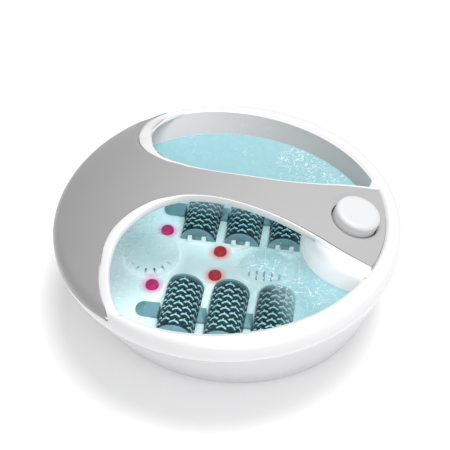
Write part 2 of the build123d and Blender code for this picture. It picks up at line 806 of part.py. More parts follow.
def build_scroll():
    top = motor_top + scroll_height
    scroll = scroll_plan(0, motor_top, top) - scroll_plan(-2, motor_top + 2, top + 1)
    scroll += rod(outlet_x, 0, motor_top - 8, motor_top + 1, hose_bore / 2 - 0.05)
    scroll -= rod(outlet_x, 0, motor_top - 9, motor_top + 3, 1.5)
    return scroll - rod(motor_x, 0, motor_top - 1, motor_top + 4, 3)


def build_lid():
    top = motor_top + scroll_height
    return scroll_plan(0, top, top + 2) - rod(motor_x + 12, 0, top - 1, top + 3, 5)


def build_fan():
    z0 = motor_top + 4
    fan = rod(motor_x, 0, z0, z0 + 1.2, 21) + rod(motor_x, 0, z0, z0 + 10, 4)
    for i in range(12):
        blade = Pos(14, 0, z0 + 5) * Rot(0, 0, 25) * Box(12, 1.2, 10)
        fan += Pos(motor_x, 0, 0) * Rot(0, 0, 30 * i) * blade
    return fan - rod(motor_x, 0, z0 - 1, z0 + 11, motor_shaft_diameter / 2 + 0.02)


def main():
    os.makedirs("parts", exist_ok=True)
    save("tub", build_tub())
    save("lower_casing", build_casing())
    save("rubber_feet", *[build_foot(x, y) for x, y in foot_points])
    save("casing_screws", *[build_case_screw(x, y) for x, y in case_screws])
    save("cord_gland", build_gland())
    save("deck_frame", build_frame())
    save("top_cover", build_cover())
    save("cover_screws", *[build_cover_screw(x, y) for x, y in cover_screw_points])
    save("pod_gasket", build_gasket())
    save("control_knob", build_knob())
    save("knob_seal", knob_disc(-knob_recess_depth + 0.5, -5, knob_recess_diameter / 2 - 0.2, 23))
    save("selector_switch", build_switch())
    save("switch_nut", knob_disc(-knob_recess_depth + 0.5, -4, 7.5, 4.8))
    save("switch_shaft", knob_disc(-15, 2.8, shaft_diameter / 2))
    save("control_board", build_board())
    save("board_screws", *[build_board_screw(x, y) for x, y in board_screw_points])
    tray = build_tray()
    save("roller_tray_front", tray)
    save("roller_tray_back", mirrored(tray))
    axles = [build_axle(x) for x in roller_xs]
    save("axle_pins_front", *axles)
    save("axle_pins_back", *[mirrored(axle) for axle in axles])
    for i, x in enumerate(roller_xs):
        roller = build_roller(x)
        save(f"roller_front_{i + 1}", roller)
        save(f"roller_back_{i + 1}", mirrored(roller))
    save("toe_cap", build_toe_cap())
    save("jet_dome", build_jet_dome())
    for lamp, (x, y) in (("toe", toe_lamp), ("centre", centre_lamp)):
        for side, name in ((-1, "front"), (1, "back")):
            save(f"{lamp}_lens_{name}", build_lens(x, side * y))
            save(f"{lamp}_lamp_board_{name}", build_lamp_board(x, side * y))
    save("lamp_leds", *[build_led(x, y) for x, y in both_in([toe_lamp, centre_lamp])])
    save("air_manifold", build_manifold())
    save("air_hose", build_hose())
    save("heater_plate_front", build_heater())
    save("heater_plate_back", mirrored(build_heater()))
    save("thermal_cutout", build_cutout())
    save("motor_mount", build_mount())
    save("motor_can", build_can())
    save("motor_shaft", rod(motor_x, 0, casing_floor + 0.7, motor_top + 16, motor_shaft_diameter / 2))
    save("eccentric_weight", build_weight())
    save("blower_scroll", build_scroll())
    save("blower_lid", build_lid())
    save("blower_fan", build_fan())


if __name__ == "__main__":
    main()
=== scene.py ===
import json
from math import asin, atan, atan2, cos, hypot, pi, radians, sin, sqrt

import bmesh
import bpy
from mathutils import Matrix, Vector

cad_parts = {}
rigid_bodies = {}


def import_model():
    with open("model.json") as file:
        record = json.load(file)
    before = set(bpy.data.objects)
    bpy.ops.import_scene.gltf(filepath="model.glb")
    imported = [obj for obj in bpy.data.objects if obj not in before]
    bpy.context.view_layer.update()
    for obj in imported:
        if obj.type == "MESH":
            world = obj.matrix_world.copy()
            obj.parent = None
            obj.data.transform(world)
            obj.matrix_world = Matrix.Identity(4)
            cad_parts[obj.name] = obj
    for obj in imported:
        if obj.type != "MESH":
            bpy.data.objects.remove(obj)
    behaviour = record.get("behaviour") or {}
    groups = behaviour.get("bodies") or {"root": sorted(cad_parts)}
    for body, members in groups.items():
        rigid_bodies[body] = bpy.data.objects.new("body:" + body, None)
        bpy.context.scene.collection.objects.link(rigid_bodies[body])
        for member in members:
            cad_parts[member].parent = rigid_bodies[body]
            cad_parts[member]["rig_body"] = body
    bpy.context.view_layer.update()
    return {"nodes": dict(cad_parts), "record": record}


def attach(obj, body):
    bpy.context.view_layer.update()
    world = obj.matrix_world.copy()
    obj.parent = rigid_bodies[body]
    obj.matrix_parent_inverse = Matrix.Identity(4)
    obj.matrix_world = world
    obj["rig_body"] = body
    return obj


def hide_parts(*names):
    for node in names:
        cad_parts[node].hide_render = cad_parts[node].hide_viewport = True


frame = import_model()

# Everything below is worked in millimetres in the part's own frame and scaled by MM at the end of each
# piece. The foot spa: a white tub with a rolled rim, a tapered skirt, a grey hood and bridge with a white
# lip, a pillar with the knob, rollers in teal trays, lamps and air caps on the floor, and the water.

MM = 0.001
OUTLINE_X, OUTLINE_Y = 199.95, 202.95
CREST_LEFT, CREST_MIDDLE, CREST_RIGHT, CREST_HALF = -192.0, -24.0, 181.0, 187.0
FLOOR_HEIGHT, WATER_HEIGHT = 46.0, 106.0
FLOOR_LEFT, FLOOR_RIGHT, FLOOR_HALF = -160.0, 166.0, 152.0
CROWN_TOP, CROWN_X, CROWN_BEND, CROWN_FALL, CROWN_SIDE = 176.0, -30.0, 95.0, 30.0, 46.0
HOOD_EDGE, HOOD_SLOPE = 110.0, 0.16
PILLAR_X, PILLAR_RADIUS = 162.0, 77.0
KNOB_X, RECESS_RADIUS, RECESS_REACH = 144.0, 28.0, 14.0
# The toe hood's tip, and the plane across it where the open rim ends and the hood begins
TIP = (-100.0, 174.5)
CUT_X, CUT_ALONG, CUT_ACROSS = TIP[0] + 0.3, 0.905, -0.425
LIP_TAIL_HEIGHT = 134.6
COVER_WALL, WATER_THICKNESS = 2.3, 0.4
ROLLER_XS = (-44.0, 10.0, 64.0)
ROLLER_Y, ROLLER_Z, ROLLER_LENGTH = 78.0, 40.5, 75.6
TOE_CAP_X, CAP_X = -94.0, 46.0
nodes = frame["nodes"]


# ---------------------------------------------------------------- shapes shared by several pieces

def crown_z(x, y):
    """The height of the hood's and bridge's top."""
    s = x - CROWN_X
    side = abs(y) / OUTLINE_Y
    if s <= 0:
        return CROWN_TOP - CROWN_SIDE * hypot(s / 170.0, side) ** 2.2
    fall = CROWN_FALL * (sqrt(1 + (s / CROWN_BEND) ** 2) - 1)
    return CROWN_TOP - fall - CROWN_SIDE * side ** 2.2 * (1 - 0.7 * min(s / 150.0, 1))


def hood_edge_z(x):
    """The height of the hood's lower edge."""
    return HOOD_EDGE + HOOD_SLOPE * (x + 200.0)


def oval(left, middle, right, half, angle):
    """A point of an oval whose widest place is at middle, not always halfway."""
    c = cos(angle)
    reach = right - middle if c >= 0 else middle - left
    return middle + reach * c, half * sin(angle)


def rim_oval(share, angle, inset=0.0):
    """The rim between its crest (share 0) and the outline (share 1)."""
    left = CREST_LEFT + share * (-OUTLINE_X - CREST_LEFT) + inset
    right = CREST_RIGHT + share * (OUTLINE_X - CREST_RIGHT) - inset
    half = CREST_HALF + share * (OUTLINE_Y - CREST_HALF) - inset
    return oval(left, CREST_MIDDLE * (1 - share), right, half, angle)


def wall_oval(z, angle, inset=0.0):
    """The tub's inner wall at height z."""
    t = (z - FLOOR_HEIGHT) / 96.0
    left = FLOOR_LEFT + t * (CREST_LEFT - FLOOR_LEFT) + inset
    right = FLOOR_RIGHT + t * (CREST_RIGHT - FLOOR_RIGHT) - inset
    middle = 3.0 + t * (CREST_MIDDLE - 3.0)
    return oval(left, middle, right, FLOOR_HALF + t * (CREST_HALF - FLOOR_HALF) - inset, angle)


def smooth_step(low, high, value):
    """Goes smoothly from 0 at low to 1 at high."""
    t = min(max((value - low) / (high - low), 0.0), 1.0)
    return t * t * (3 - 2 * t)


def through(points, count):
    """Evenly spread samples of a smooth curve through the given points."""
    ends = [points[0]] + list(points) + [points[-1]]
    dense = []
    for i in range(1, len(ends) - 2):
        p0, p1, p2, p3 = ends[i - 1:i + 3]
        for k in range(24):
            t = k / 24
            dense.append(tuple(
                0.5 * (2 * b + (c - a) * t + (2 * a - 5 * b + 4 * c - d) * t * t + (3 * b - a - 3 * c + d) * t ** 3)
                for a, b, c, d in zip(p0, p1, p2, p3)))
    dense.append(tuple(points[-1]))
    length = [0.0]
    for a, b in zip(dense, dense[1:]):
        length.append(length[-1] + sqrt(sum((p - q) ** 2 for p, q in zip(a, b))))
    out, j = [], 0
    for i in range(count + 1):
        want = length[-1] * i / count
        while j < len(length) - 2 and length[j + 1] < want:
            j += 1
        step = length[j + 1] - length[j]
        t = (want - length[j]) / step if step else 0.0
        out.append(tuple(p + (q - p) * t for p, q in zip(dense[j], dense[j + 1])))
    return out


NECK_X = -60.0
BRIDGE_EDGE = [(NECK_X, 27.2), (-45, 22.8), (-15, 20), (20, 22), (60, 28.3), (95, 38.5), (135, 53.3), (167.5, 62.7)]
TOE_BACK = [TIP, (-106.5, 166.3), (-113, 161), (-119, 154), (-123.3, 147), (-126, 139.5), (-127.8, 126), (-126.6, 107),
            (-122.4, 88.5), (-116, 71), (-101.5, 51.3), (-79, 34.3), (NECK_X, 27.2)]
TOE_FRONT = [TIP, (-106.5, 163.5), (-113, 151), (-119.5, 131), (-121.8, 112), (-121.5, 92), (-115.5, 71), (-100, 50),
             (-79, 34.3), (NECK_X, 27.2)]
LIP_TAIL = [(-96.5, 175.2), (-99, 172.4)]
INNER_BRIDGE = [(-43, 25), (-15, 21.8), (20, 24), (60, 30.4), (95, 41), (135, 56.5), (166.3, 65.7)]
INNER_BACK = [(-82, 171.6), (-88, 168.6), (-94, 164.4), (-100, 158.5), (-107.4, 147.5), (-112, 136.5), (-114, 122.5),
              (-111.6, 103), (-106, 80), (-98.5, 62.5), (-87.5, 46.8), (-73, 36), (-57.5, 29.8)] + INNER_BRIDGE
INNER_FRONT = [(-84, 171.3), (-89, 167.8), (-94, 162.5), (-101.5, 150), (-107.5, 135), (-111.7, 117), (-111.3, 97),
               (-105, 76), (-90.5, 55), (-73.5, 39), (-57.5, 30.3)] + INNER_BRIDGE


# ---------------------------------------------------------------- mesh helpers

def grid_piece(columns, rows, place):
    """A grid whose corner (i, j) goes to place(i, j)."""
    bm = bmesh.new()
    bmesh.ops.create_grid(bm, x_segments=columns, y_segments=rows, size=0.5)
    for v in bm.verts:
        v.co = place(round((v.co.x + 0.5) * columns), round((v.co.y + 0.5) * rows))
    return bm


def ring_piece(sections, count=192):
    """Rings of count points drawn out of a circle, each section giving a point for an angle."""
    bm = bmesh.new()
    bmesh.ops.create_circle(bm, segments=count, radius=1.0)
    angle_layer = bm.verts.layers.float.new("turn")
    for v in bm.verts:
        v[angle_layer] = atan2(v.co.y, v.co.x)
    edges = list(bm.edges)
    for v in bm.verts:
        v.co = sections[0](v[angle_layer])
    for section in sections[1:]:
        made = bmesh.ops.extrude_edge_only(bm, edges=edges)["geom"]
        for v in made:
            if isinstance(v, bmesh.types.BMVert):
                v.co = section(v[angle_layer])
        edges = [e for e in made if isinstance(e, bmesh.types.BMEdge)]
    return bm


def add_mirror(bm):
    """Adds the other side of the plane Y = 0."""
    bmesh.ops.mirror(bm, geom=list(bm.verts) + list(bm.edges) + list(bm.faces), axis="Y", merge_dist=0.0)
    return bm


def take_mesh(bm, name):
    """Turns a bmesh into a mesh and frees it."""
    mesh = bpy.data.meshes.new(name)
    bm.to_mesh(mesh)
    bm.free()
    return mesh


def new_object(name, data):
    """An object holding the data, linked to the scene."""
    obj = bpy.data.objects.new(name, data)
    bpy.context.scene.collection.objects.link(obj)
    return obj


def make_piece(bm, name, body, material, stands_for=(), sharp=35.0, outward=None):
    """Turns a mesh in millimetres into a finished piece that rides on a body of the frame."""
    bmesh.ops.remove_doubles(bm, verts=list(bm.verts), dist=0.01)
    bmesh.ops.recalc_face_normals(bm, faces=list(bm.faces))
    if outward is not None and not outward(bm):
        bmesh.ops.reverse_faces(bm, faces=list(bm.faces))
    bmesh.ops.scale(bm, vec=Vector((MM, MM, MM)), verts=list(bm.verts))
    mesh = take_mesh(bm, name)
    obj = new_object(name, mesh)
    mesh.shade_smooth()
    mesh.set_sharp_from_angle(angle=radians(sharp))
    for one in material if isinstance(material, (list, tuple)) else [material]:
        mesh.materials.append(one)
    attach(obj, body)
    if stands_for:
        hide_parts(*stands_for)
    return obj


def smooth_copy(node, material, keep=None, inner=None):
    """A merged, smoothly shaded copy of a node of the frame, which it replaces.

    keep says which faces stay. inner is the X of an air cap's centre: its inner faces and its slots' walls are painted
    dark as shade.
    """
    bm = bmesh.new()
    bm.from_mesh(nodes[node].data)
    bmesh.ops.scale(bm, vec=Vector((1000, 1000, 1000)), verts=list(bm.verts))
    bmesh.ops.remove_doubles(bm, verts=list(bm.verts), dist=0.004)
    if keep is not None:
        gone = [f for f in bm.faces if not keep(f.calc_center_median(), f)]
        bmesh.ops.delete(bm, geom=gone, context="FACES")
    if inner is not None:
        centre = Vector((inner, 0, FLOOR_HEIGHT - 4))
        bmesh.ops.dissolve_degenerate(bm, dist=0.03, edges=list(bm.edges))
        # Painted shade: the cap's inner faces and slot walls take a dark colour.
        for f in bm.faces:
            out = f.normal.dot((f.calc_center_median() - centre).normalized())
            if out < 0.12 or (abs(f.normal.z) < 0.25 and out < 0.65):
                f.material_index = 1
    bmesh.ops.scale(bm, vec=Vector((MM, MM, MM)), verts=list(bm.verts))
    mesh = take_mesh(bm, node + "_shell")
    mesh.materials.clear()
    mesh.materials.append(material)
    if inner is not None:
        mesh.materials.append(cap_inside_shade)
    mesh.shade_smooth()
    mesh.set_sharp_from_angle(angle=radians(32))
    obj = new_object(node + "_shell", mesh)
    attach(obj, nodes[node]["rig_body"])
    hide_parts(node)


def apply_modifiers(obj):
    """Bakes the piece's modifiers into its mesh."""
    graph = bpy.context.evaluated_depsgraph_get()
    mesh = bpy.data.meshes.new_from_object(obj.evaluated_get(graph))
    old = obj.data
    obj.modifiers.clear()
    obj.data = mesh
    bpy.data.meshes.remove(old)


# ---------------------------------------------------------------- materials

def node_group(name, inputs, outputs):
    group = bpy.data.node_groups.new(name, "ShaderNodeTree")
    for label, kind, value in inputs:
        socket = group.interface.new_socket(name=label, in_out="INPUT", socket_type=kind)
        socket.default_value = value
    for label, kind in outputs:
        group.interface.new_socket(name=label, in_out="OUTPUT", socket_type=kind)
    return group, group.nodes.new("NodeGroupInput"), group.nodes.new("NodeGroupOutput")


def math_node(tree, operation, *values, clamp=False):
    node = tree.nodes.new("ShaderNodeMath")
    node.operation = operation
    node.use_clamp = clamp
    for socket, value in zip(node.inputs, values):
        if isinstance(value, (int, float)):
            socket.default_value = value
        else:
            tree.links.new(value, socket)
    return node.outputs[0]


def mix_colour(tree, factor, first, second):
    """Mixes two colours; each is a socket or three numbers."""
    node = tree.nodes.new("ShaderNodeMix")
    node.data_type = "RGBA"
    for place, value in ((0, factor), (6, first), (7, second)):
        if isinstance(value, tuple):
            node.inputs[place].default_value = (*value, 1)
        else:
            tree.links.new(value, node.inputs[place])
    return node.outputs[2]


def moulded_group():
    """Moulded plastic: slight colour variation, a fine texture height and an uneven gloss."""
    group, start, end = node_group(
        "moulded_plastic",
        [("Colour", "NodeSocketColor", (0.8, 0.8, 0.8, 1)), ("Variation", "NodeSocketFloat", 0.04),
         ("Grain size", "NodeSocketFloat", 900.0), ("Roughness", "NodeSocketFloat", 0.3)],
        [("Colour", "NodeSocketColor"), ("Roughness", "NodeSocketFloat"), ("Height", "NodeSocketFloat")])
    tree, link = group.nodes, group.links.new
    where = tree.new("ShaderNodeTexCoord")
    broad = tree.new("ShaderNodeTexNoise")
    broad.inputs["Scale"].default_value = 14.0
    broad.inputs["Detail"].default_value = 3.0
    fine = tree.new("ShaderNodeTexNoise")
    fine.inputs["Detail"].default_value = 2.0
    link(where.outputs["Object"], broad.inputs["Vector"])
    link(where.outputs["Object"], fine.inputs["Vector"])
    link(start.outputs["Grain size"], fine.inputs["Scale"])
    shift = math_node(group, "SUBTRACT", broad.outputs["Fac"], 0.5)
    level = math_node(group, "ADD", math_node(group, "MULTIPLY", shift, start.outputs["Variation"]), 1.0)
    tint = tree.new("ShaderNodeVectorMath")
    tint.operation = "SCALE"
    link(start.outputs["Colour"], tint.inputs[0])
    link(level, tint.inputs["Scale"])
    link(tint.outputs[0], end.inputs["Colour"])
    link(math_node(group, "MULTIPLY_ADD", shift, 0.10, start.outputs["Roughness"]), end.inputs["Roughness"])
    link(fine.outputs["Fac"], end.inputs["Height"])
    return group


MOULDED = moulded_group()


def plastic(name, colour, roughness=0.3, variation=0.04, grain=900.0, bump=0.05, coat=0.0, specular=0.5,
            metallic=0.0):
    """A moulded plastic, or a metal where metallic is 1."""
    material = bpy.data.materials.new(name)
    material.use_nodes = True
    tree, link = material.node_tree.nodes, material.node_tree.links.new
    shader = tree["Principled BSDF"]
    look = tree.new("ShaderNodeGroup")
    look.node_tree = MOULDED
    look.inputs["Colour"].default_value = (*colour, 1)
    look.inputs["Variation"].default_value = variation
    look.inputs["Grain size"].default_value = grain
    look.inputs["Roughness"].default_value = roughness
    relief = tree.new("ShaderNodeBump")
    relief.inputs["Strength"].default_value = bump
    relief.inputs["Distance"].default_value = 0.0004
    link(look.outputs["Colour"], shader.inputs["Base Color"])
    link(look.outputs["Roughness"], shader.inputs["Roughness"])
    link(look.outputs["Height"], relief.inputs["Height"])
    link(relief.outputs["Normal"], shader.inputs["Normal"])
    shader.inputs["Coat Weight"].default_value = coat
    shader.inputs["Coat Roughness"].default_value = 0.08
    shader.inputs["Specular IOR Level"].default_value = specular
    shader.inputs["Metallic"].default_value = metallic
    return material


white_gloss = plastic("white_gloss", (0.77, 0.77, 0.78), 0.22, 0.015, coat=0.35)
wall_white = plastic("wall_white", (0.66, 0.635, 0.635), 0.26, 0.02, coat=0.3)
casing_white = plastic("casing_white", (0.66, 0.66, 0.68), 0.35, 0.02)
cover_grey = plastic("cover_grey", (0.36, 0.356, 0.356), 0.33, 0.03, 1400.0, 0.10, coat=0.15)
knob_white = plastic("knob_white", (0.66, 0.665, 0.675), 0.30, 0.02, 1400.0, 0.08, coat=0.2)
tray_teal = plastic("tray_teal", (0.20, 0.33, 0.37), 0.32, 0.12)
roller_teal = plastic("roller_teal", (0.42, 0.66, 0.70), 0.34, 0.5)
# Painted shade: the rollers' core and their nubs' sides are painted darker than the teal nub tops.
roller_shade = plastic("roller_shade", (0.03, 0.075, 0.095), 0.5, 0.3, specular=0.3)
roller_core_shade = plastic("roller_core_shade", (0.001, 0.012, 0.022), 0.6, 0.2, specular=0.2)
black_rubber = plastic("black_rubber", (0.03, 0.03, 0.032), 0.6, 0.1)
black_plastic = plastic("black_plastic", (0.035, 0.035, 0.038), 0.45, 0.1)
seal_white = plastic("seal_white", (0.78, 0.78, 0.79), 0.5, 0.02)
hose_rubber = plastic("hose_rubber", (0.35, 0.35, 0.36), 0.5, 0.06)
screw_steel = plastic("screw_steel", (0.6, 0.6, 0.62), 0.3, 0.06, metallic=1.0)
motor_steel = plastic("motor_steel", (0.5, 0.5, 0.52), 0.38, 0.06, metallic=1.0)
brass = plastic("brass", (0.72, 0.52, 0.2), 0.35, 0.06, metallic=1.0)
board_green = plastic("board_green", (0.02, 0.16, 0.06), 0.4, 0.15)
heater_foil = plastic("heater_foil", (0.7, 0.7, 0.72), 0.3, 0.05, metallic=1.0)
led_clear = plastic("led_clear", (0.8, 0.72, 0.68), 0.2, 0.05)


def paint_light_along_x(material, low, high, start, stop):
    """Paints light and shade into a plastic's colour: it changes along X, between two places in metres."""
    tree, link = material.node_tree.nodes, material.node_tree.links.new
    where = tree.new("ShaderNodeTexCoord")
    split = tree.new("ShaderNodeSeparateXYZ")
    link(where.outputs["Object"], split.inputs[0])
    way = tree.new("ShaderNodeMapRange")
    way.interpolation_type = "SMOOTHSTEP"
    way.inputs["From Min"].default_value = low
    way.inputs["From Max"].default_value = high
    link(split.outputs["X"], way.inputs["Value"])
    look = next(n for n in tree if n.type == "GROUP")
    link(mix_colour(material.node_tree, way.outputs[0], start, stop), look.inputs["Colour"])


# Painted light and shade: the grey cover is darker at its left end and lighter at its right, as the light falls from
# the right.
paint_light_along_x(cover_grey, -0.20, 0.13, (0.30, 0.298, 0.30), (0.42, 0.416, 0.416))
# Painted shade: the basin's inner wall above the water gets darker towards its right end, as the light falls.
paint_light_along_x(wall_white, -0.16, 0.17, (0.78, 0.745, 0.75), (0.52, 0.50, 0.50))

MAGENTA_LIGHT, RED_LIGHT = (0.95, 0.05, 0.40), (0.95, 0.06, 0.07)
LAMPS = [(-83.0, -46.6, MAGENTA_LIGHT), (-83.0, 46.6, MAGENTA_LIGHT),
         (-12.6, -20.0, RED_LIGHT), (-12.6, 20.0, RED_LIGHT)]


def glow_group():
    """How much of a lamp's light falls on the floor, by distance from the lamp."""
    group, start, end = node_group(
        "lamp_glow", [("Lamp", "NodeSocketVector", (0, 0, 0)), ("Reach", "NodeSocketFloat", 0.018)],
        [("Amount", "NodeSocketFloat")])
    tree, link = group.nodes, group.links.new
    where = tree.new("ShaderNodeTexCoord")
    flat = tree.new("ShaderNodeVectorMath")
    flat.operation = "MULTIPLY"
    flat.inputs[1].default_value = (1, 1, 0)
    link(where.outputs["Object"], flat.inputs[0])
    away = tree.new("ShaderNodeVectorMath")
    away.operation = "DISTANCE"
    link(flat.outputs[0], away.inputs[0])
    link(start.outputs["Lamp"], away.inputs[1])
    fade = tree.new("ShaderNodeMapRange")
    fade.interpolation_type = "SMOOTHSTEP"
    fade.inputs["From Min"].default_value = 0.006
    fade.inputs["To Min"].default_value = 1.0
    fade.inputs["To Max"].default_value = 0.0
    link(away.outputs["Value"], fade.inputs["Value"])
    link(start.outputs["Reach"], fade.inputs["From Max"])
    link(fade.outputs[0], end.inputs[0])
    return group


GLOW = glow_group()


def basin_material(name, shade_under_caps):
    """The basin's white plastic with painted light: a faint glow all over and pools of the lamps' coloured light;
    painted shade darkens the floor where the air caps cover it.
    """
    material = plastic(name, (0.95, 0.955, 0.955), 0.28, 0.03, coat=0.2)
    tree, link = material.node_tree, material.node_tree.links.new
    shader = tree.nodes["Principled BSDF"]

    def glow_at(x, y):
        spot = tree.nodes.new("ShaderNodeGroup")
        spot.node_tree = GLOW
        spot.inputs["Lamp"].default_value = (x * MM, y * MM, 0)
        return spot

    last = shader.inputs["Base Color"].links[0].from_socket
    glow = 0.0
    # Painted light: each lamp's pool of coloured light is mixed into the floor's colour and its glow.
    for x, y, colour in LAMPS:
        lamp = glow_at(x, y).outputs[0]
        last = mix_colour(tree, math_node(tree, "MULTIPLY", lamp, 0.7), last, colour)
        glow = math_node(tree, "ADD", glow, lamp)
    # Painted shade: the floor under the air caps, seen through their slots, is painted dark teal.
    if shade_under_caps:
        for x, reach in ((TOE_CAP_X, 0.030), (CAP_X, 0.027)):
            cover = glow_at(x, 0)
            cover.inputs["Reach"].default_value = reach
            inside = math_node(tree, "MULTIPLY", cover.outputs[0], 5.0, clamp=True)
            last = mix_colour(tree, inside, last, (0.02, 0.06, 0.08))
    link(last, shader.inputs["Base Color"])
    link(last, shader.inputs["Emission Color"])
    # Painted light: the whole basin glows faintly, more inside the lamps' pools.
    link(math_node(tree, "MULTIPLY_ADD", glow, 0.12, 0.17), shader.inputs["Emission Strength"])
    return material


def lens_material(name, centre, edge):
    """A lit coloured lens: brighter in the middle, dark towards its edge, with a moulded sparkle."""
    material = plastic(name, centre, 0.3, 0.15, 260.0, 0.08, specular=0.15)
    tree, link = material.node_tree.nodes, material.node_tree.links.new
    shader = tree["Principled BSDF"]
    facing = tree.new("ShaderNodeLayerWeight")
    facing.inputs["Blend"].default_value = 0.35
    middle = shader.inputs["Base Color"].links[0].from_socket
    blend = mix_colour(material.node_tree, facing.outputs["Facing"], middle, edge)
    link(blend, shader.inputs["Base Color"])
    link(blend, shader.inputs["Emission Color"])
    shader.inputs["Emission Strength"].default_value = 0.3
    return material


# Both glow faintly with painted light; only the basin's floor gets painted shade under the caps.
basin_white = basin_material("basin_white", True)
air_cap_white = basin_material("air_cap_white", False)
# A dark painted shade for the air caps' inner faces and slot walls.
cap_inside_shade = plastic("cap_inside_shade", (0.10, 0.20, 0.24), 0.5, 0.1)
lens_magenta = lens_material("lens_magenta", (0.58, 0.002, 0.13), (0.10, 0.0, 0.03))
lens_red = lens_material("lens_red", (0.52, 0.002, 0.01), (0.10, 0.0, 0.005))

FINISH = {
    "white_gloss": white_gloss, "casing_white": casing_white, "cover_grey": cover_grey, "knob_white": knob_white,
    "roller_teal": roller_teal, "tray_teal": tray_teal, "lens_magenta": lens_magenta, "lens_red": lens_red,
    "black_rubber": black_rubber, "hose_rubber": hose_rubber, "screw_steel": screw_steel, "led_clear": led_clear,
    "motor_steel": motor_steel, "weight_brass": brass, "black_plastic": black_plastic,
    "board_green": board_green, "heater_foil": heater_foil,
}
for part in frame["record"]["subparts"]:
    node = nodes[part["node"]]
    node.data.materials.clear()
    node.data.materials.append(FINISH[part["material_slot"]])
nodes["pod_gasket"].data.materials[0] = seal_white


# ---------------------------------------------------------------- the tub

def rim_profile():
    """The rim's sections from the top of the wall, over the crest and down to the crease."""
    outer = [(0.02, 134.2), (0.10, 135.5), (0.24, 136.0), (0.42, 135.6), (0.60, 134.4), (0.76, 132.2), (0.88, 129.0),
             (0.96, 125.2), (1.0, 120.6), (0.99, 116.4), (0.955, 113.4), (0.90, 112.0)]
    return through(outer, 40)


RIM_WALL_TOP = 132.6


def make_rim():
    """The rolled rim and the basin's wall down under the water, open where the hood covers them."""
    heights = (55.0, 70.0, 88.0, WATER_HEIGHT, 118.0, 127.0, RIM_WALL_TOP)
    wall = [(lambda a, z=z: Vector((*wall_oval(z, a, -0.15), z))) for z in heights]
    roll = [(lambda a, s=s, z=z: Vector((*rim_oval(s, a), z))) for s, z in rim_profile()]
    under = [lambda a: Vector((*rim_oval(0.9, a, 2.6), 112.0)), lambda a: Vector((*rim_oval(0.9, a, 2.8), 114.5))]
    bm = ring_piece(wall + roll + under, 224)
    for side in (-1, 1):
        everything = list(bm.verts) + list(bm.edges) + list(bm.faces)
        bmesh.ops.bisect_plane(bm, geom=everything, dist=0.001, plane_co=Vector((CUT_X, TIP[1] * side, 0)),
                               plane_no=Vector((CUT_ALONG, CUT_ACROSS * side, 0)))
    everything = list(bm.verts) + list(bm.edges) + list(bm.faces)
    slope = Vector((-HOOD_SLOPE, 0, 1)).normalized()
    bmesh.ops.bisect_plane(bm, geom=everything, dist=0.001, plane_co=Vector((-200, 0, HOOD_EDGE - 0.3)), plane_no=slope)
    gone = [f for f in bm.faces if under_hood(f.calc_center_median())]
    bmesh.ops.delete(bm, geom=gone, context="FACES")
    for f in bm.faces:
        p = f.calc_center_median()
        if p.z < RIM_WALL_TOP and hypot((p.x + 6) / 190, p.y / 189) < 1:
            f.material_index = 1 if p.z > WATER_HEIGHT else 2
    make_piece(bm, "tub_rim", "base", [white_gloss, wall_white, basin_white], outward=rim_faces_up)


def under_hood(p):
    """Whether a place on the rim is covered by the toe hood."""
    side = 1 if p.y > 0 else -1
    behind = (p.x - CUT_X) * CUT_ALONG + (p.y - TIP[1] * side) * CUT_ACROSS * side < 0
    if not behind or p.x > -60:
        return False
    if hypot((p.x - 3) / 179.0, p.y / 180.0) < 1 and p.z < 128:
        return False
    return p.z > hood_edge_z(p.x) - 0.35


def rim_faces_up(bm):
    top = max(bm.faces, key=lambda f: f.calc_center_median().z)
    return top.normal.z > 0


def tub_floor_part(centre, face):
    """The part of the tub's own mesh that stays: the floor with its pockets, and the pillar."""
    from_pillar = hypot(centre.x - PILLAR_X, centre.y)
    if from_pillar < 79.5 and centre.x < 165:
        return True
    if centre.z > 90 and centre.x < 82:
        return False
    return max(v.co.z for v in face.verts) <= 70


make_rim()
smooth_copy("tub", basin_white, keep=tub_floor_part)


# ---------------------------------------------------------------- the grey cover

HOOD_CENTRE_X = 60.0


def outline_point(x, y):
    """Where the line from the hood's centre through (x, y) meets the outline."""
    dx, dy = (x - HOOD_CENTRE_X) / OUTLINE_X, y / OUTLINE_Y
    cx = HOOD_CENTRE_X / OUTLINE_X
    a, b, c = dx * dx + dy * dy, 2 * cx * dx, cx * cx - 1
    t = (-b + sqrt(b * b - 4 * a * c)) / (2 * a)
    return HOOD_CENTRE_X + (x - HOOD_CENTRE_X) * t, y * t


def hood_ring(i, j, inner, rows_flat, rows_round, rows_side):
    """A point of the hood, from the opening's edge out over the shoulder and down the side."""
    x, y = inner[i]
    ox, oy = outline_point(x, y)
    span = hypot(ox - x, oy - y)
    shoulder = 9.0
    side_top = crown_z(ox, oy) - shoulder
    edge = hood_edge_z(ox)
    flat = max(span - shoulder, 0.0)
    start = asin(min(max((shoulder - span) / shoulder, 0.0), 1.0))
    if j <= rows_flat:
        run = flat * (j / rows_flat) ** 1.4
        drop = shoulder * (1 - cos(start))
    elif j <= rows_flat + rows_round:
        bend = start + (pi / 2 - start) * (j - rows_flat) / rows_round
        run = span - shoulder + shoulder * sin(bend)
        drop = shoulder * (1 - cos(bend))
    else:
        run = span
        drop = 0.0
    share = run / span if span > 1e-6 else 1.0
    px, py = x + (ox - x) * share, y + (oy - y) * share
    side = i if i <= 90 else 0
    groove = 2.2 * smooth_step(6, 24, side) * (1 - smooth_step(56, 74, side)) * (1 - smooth_step(1.5, 9.0, run))
    if j > rows_flat + rows_round:
        down = (j - rows_flat - rows_round) / rows_side
        return Vector((ox, oy, side_top + (min(edge, side_top) - side_top) * down))
    return Vector((px, py, crown_z(px, py) - drop - groove))


def end_x(y):
    """Where the bridge's end meets the rim."""
    return -24 + 203.3 * sqrt(1 - (y / 186.6) ** 2)


